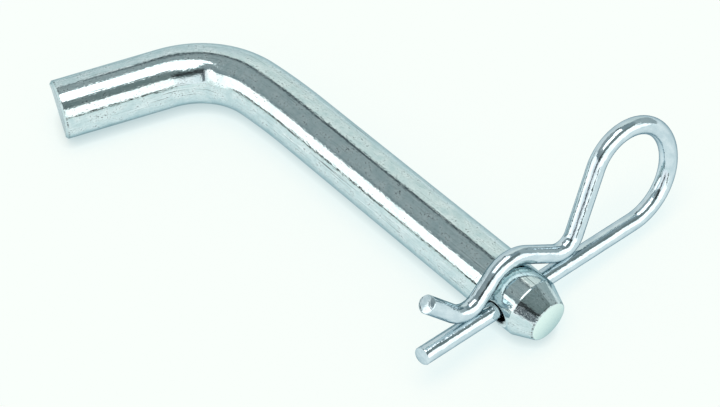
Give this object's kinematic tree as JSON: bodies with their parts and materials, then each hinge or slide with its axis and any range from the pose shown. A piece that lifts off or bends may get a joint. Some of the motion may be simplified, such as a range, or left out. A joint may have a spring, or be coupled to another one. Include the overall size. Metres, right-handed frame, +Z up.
{
  "type": "hitch pin with clip",
  "caption": "Round steel bar pin with a bent handle and a coned nose, held by a sprung wire R clip whose leg passes through the pin's cross hole.",
  "frame": {"origin": "on the shank's axis where the straight shank ends and the handle's bend begins", "axes": "+X along the shank to its nose, +Z up from the surface the pin lies on, and the handle turns towards -Y"},
  "size_m": [0.1445, 0.0982, 0.0326],
  "materials": {
    "zinc_bar": "bright zinc plate with a faint blue-green cast and fine scratches along the bar",
    "zinc_wire": "smooth bright zinc plate on drawn wire"
  },
  "bodies": {
    "pin": {"bent_pin": "zinc_bar"},
    "clip": {"r_clip": "zinc_wire"}
  },
  "joints": [
    {"name": "clip_pull", "type": "slide", "parent": "pin", "child": "clip", "axis": [0.0904, 0.9931, -0.075], "range_m": [0, 0.05], "deforming": ["r_clip"]}
  ]
}
